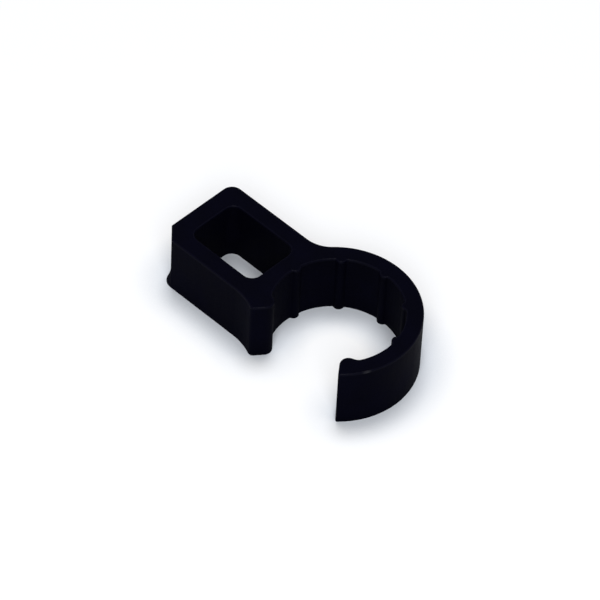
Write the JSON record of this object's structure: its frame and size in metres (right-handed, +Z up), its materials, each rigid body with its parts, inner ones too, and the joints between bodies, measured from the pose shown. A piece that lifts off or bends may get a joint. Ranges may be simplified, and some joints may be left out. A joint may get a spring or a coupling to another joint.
{
  "type": "cable holder",
  "caption": "One-piece moulded cable holder: a C-shaped snap ring with grip ribs and beaded lips, joined to a rectangular through sleeve.",
  "frame": {"origin": "on the ring axis, in the plane of the bottom face", "axes": "+X from the sleeve towards the ring, -Y out of the ring's mouth, +Z up along the ring axis"},
  "size_m": [0.0546, 0.0283, 0.0137],
  "materials": {
    "black_plastic": "satin moulded black"
  },
  "bodies": {
    "root": {"cable_holder": "black_plastic"}
  },
  "joints": []
}
